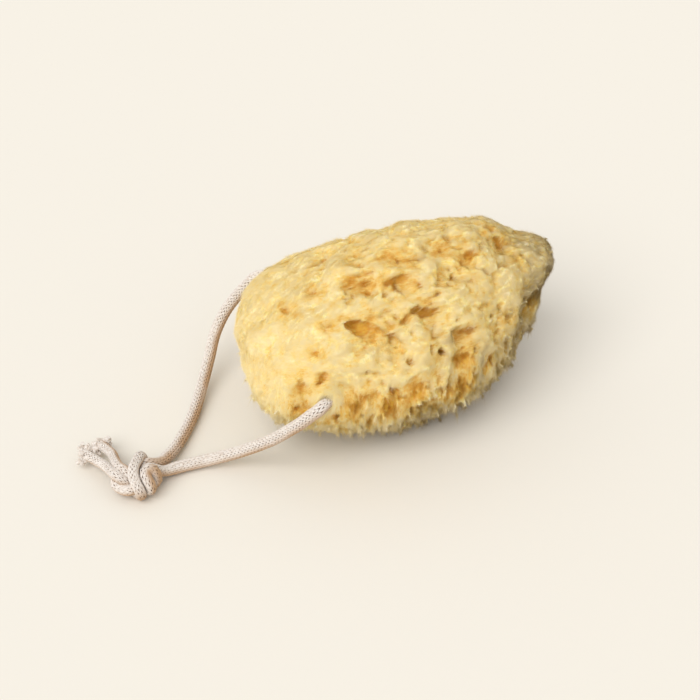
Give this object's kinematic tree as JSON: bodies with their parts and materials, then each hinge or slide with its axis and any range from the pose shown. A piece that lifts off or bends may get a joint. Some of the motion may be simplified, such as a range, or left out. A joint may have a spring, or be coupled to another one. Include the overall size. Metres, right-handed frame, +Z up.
{
  "type": "sea sponge",
  "caption": "Natural bath sponge with a round cotton cord drawn through one end and knotted into a hanging loop.",
  "frame": {"origin": "middle of the sponge's own box, at the level of the flat cut it rests on", "axes": "+X runs the sponge's long way, from the blunt end that holds the cord to the narrow beak; +Z is up from the flat cut"},
  "size_m": [0.2033, 0.0906, 0.074],
  "materials": {
    "sponge": "matt, soft felt of fine spongin fibres, pale on the ridges and ochre in the pits",
    "cord": "matt knitted cotton, off-white"
  },
  "bodies": {
    "root": {"sponge": "sponge", "cord_front": "cord", "cord_back": "cord", "knot": "cord", "tail_front": "cord", "tail_back": "cord"}
  },
  "joints": []
}
